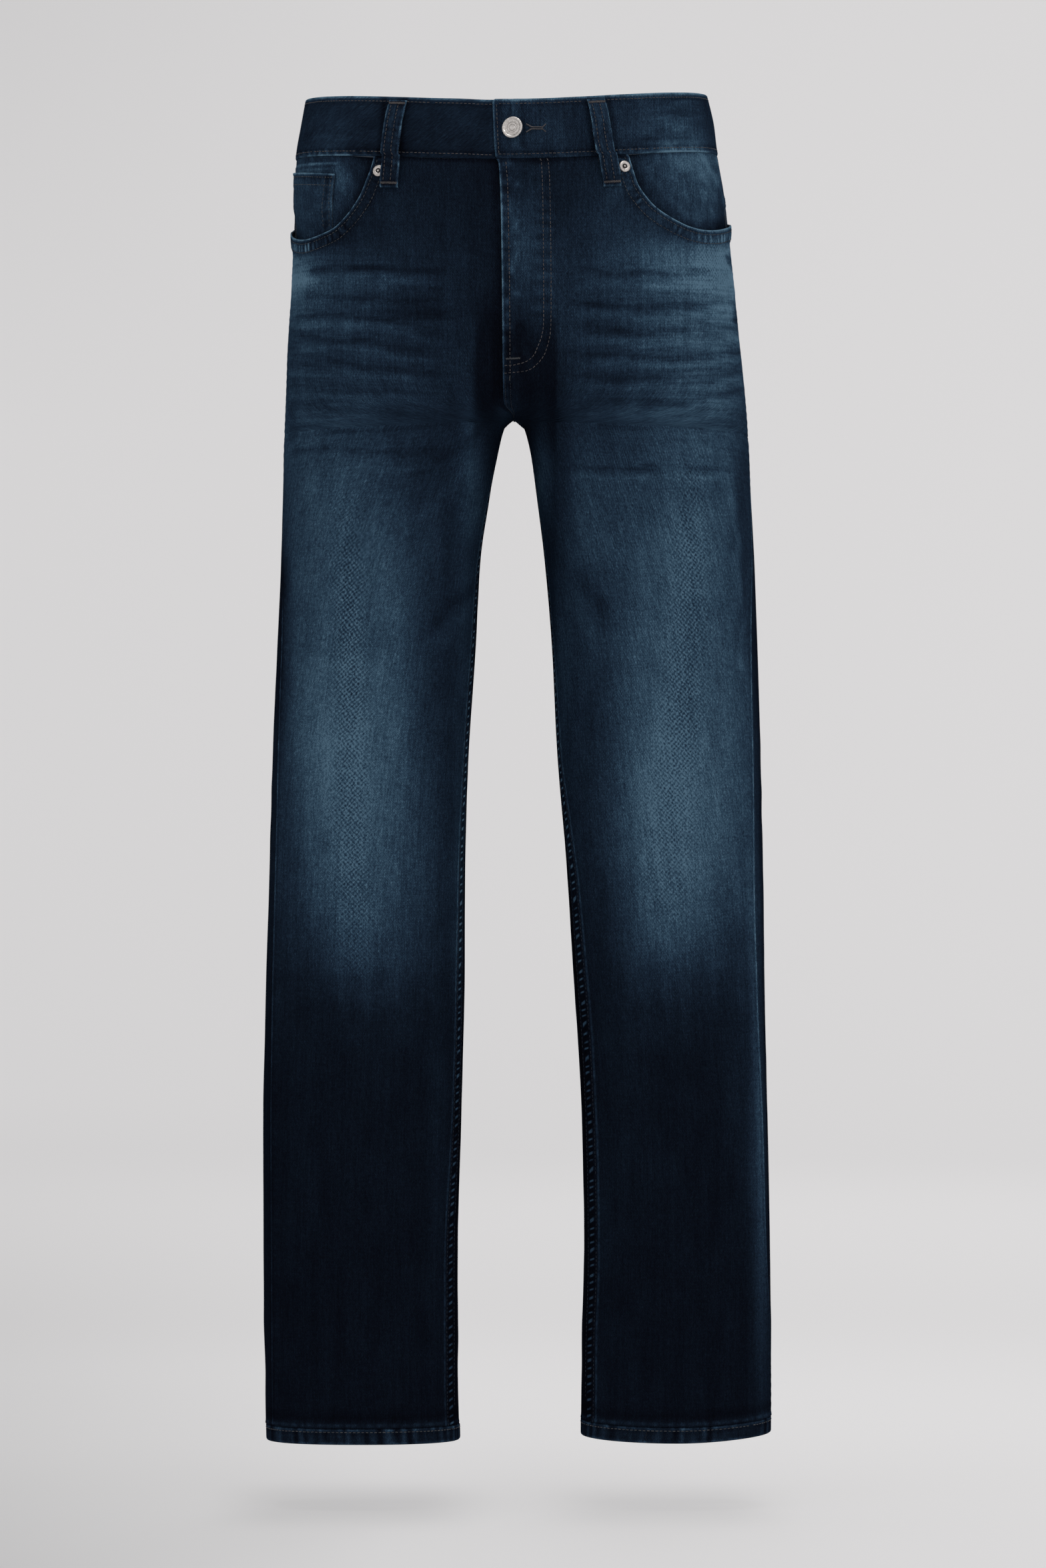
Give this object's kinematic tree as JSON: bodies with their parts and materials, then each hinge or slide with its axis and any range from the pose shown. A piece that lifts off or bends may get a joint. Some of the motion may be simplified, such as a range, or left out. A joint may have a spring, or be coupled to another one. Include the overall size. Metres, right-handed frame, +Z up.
{
  "type": "straight leg jeans",
  "caption": "Men's straight leg jeans in faded dark blue stretch denim, filled out with no wearer, with open waist and hems, shank button, rivets and belt loops.",
  "frame": {"origin": "middle of the waistband ring, where the wearer holds the garment", "axes": "+Z up along the garment, the front faces -Y, the wearer's left side is +X"},
  "size_m": [0.4071, 0.2548, 1.0803],
  "materials": {
    "denim": "dark blue washed twill, faded on thighs and knees",
    "metal": "satin nickel"
  },
  "bodies": {
    "root": {"front_left": "denim", "front_right": "denim", "back_left": "denim", "back_right": "denim", "yoke_left": "denim", "yoke_right": "denim", "waistband": "denim", "hip_facing_left": "denim", "hip_facing_right": "denim", "coin_pocket": "denim", "back_pocket_left": "denim", "back_pocket_right": "denim", "hem_left": "denim", "hem_right": "denim", "belt_loop_front_left": "denim", "belt_loop_front_right": "denim", "belt_loop_back_left": "denim", "belt_loop_back_right": "denim", "belt_loop_centre": "denim", "button": "metal", "rivet_left": "metal", "rivet_right": "metal"}
  },
  "joints": []
}
